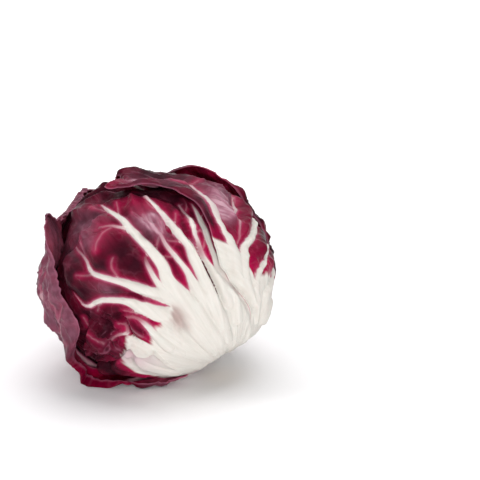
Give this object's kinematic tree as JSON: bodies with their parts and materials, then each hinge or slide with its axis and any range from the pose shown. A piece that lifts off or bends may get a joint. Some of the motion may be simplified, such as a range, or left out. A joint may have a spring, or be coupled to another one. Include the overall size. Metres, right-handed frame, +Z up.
{
  "type": "radicchio head",
  "caption": "Round head of red radicchio lying on its side: overlapping dark red leaves with broad white ribs round a white stem.",
  "frame": {"origin": "middle of the footprint's bounding box, on the surface the head lies on", "axes": "+Z up; X is the widest way, from the leaf tips at -X to the stem at +X; -Y is the front, where the white leaf bases show"},
  "size_m": [0.1156, 0.1096, 0.1034],
  "materials": {
    "outer_leaf": "waxy, dark red with cream-white ribs",
    "inner_leaf": "waxy, dark red with cream-white ribs",
    "heart": "waxy, dark red with cream-white ribs",
    "stem": "moist cream-white flesh, browned on the cut"
  },
  "bodies": {
    "root": {"resting_leaf": "outer_leaf", "back_leaf": "outer_leaf", "right_leaf": "outer_leaf", "front_leaf": "outer_leaf", "lower_left_leaf": "outer_leaf", "upper_right_leaf": "outer_leaf", "lower_back_leaf": "outer_leaf", "lower_right_leaf": "outer_leaf", "inner_leaf_1": "inner_leaf", "inner_leaf_2": "inner_leaf", "inner_leaf_3": "inner_leaf", "inner_leaf_4": "inner_leaf", "inner_leaf_5": "inner_leaf", "inner_leaf_6": "inner_leaf", "inner_leaf_7": "inner_leaf", "inner_leaf_8": "inner_leaf", "heart": "heart", "stem": "stem"}
  },
  "joints": []
}
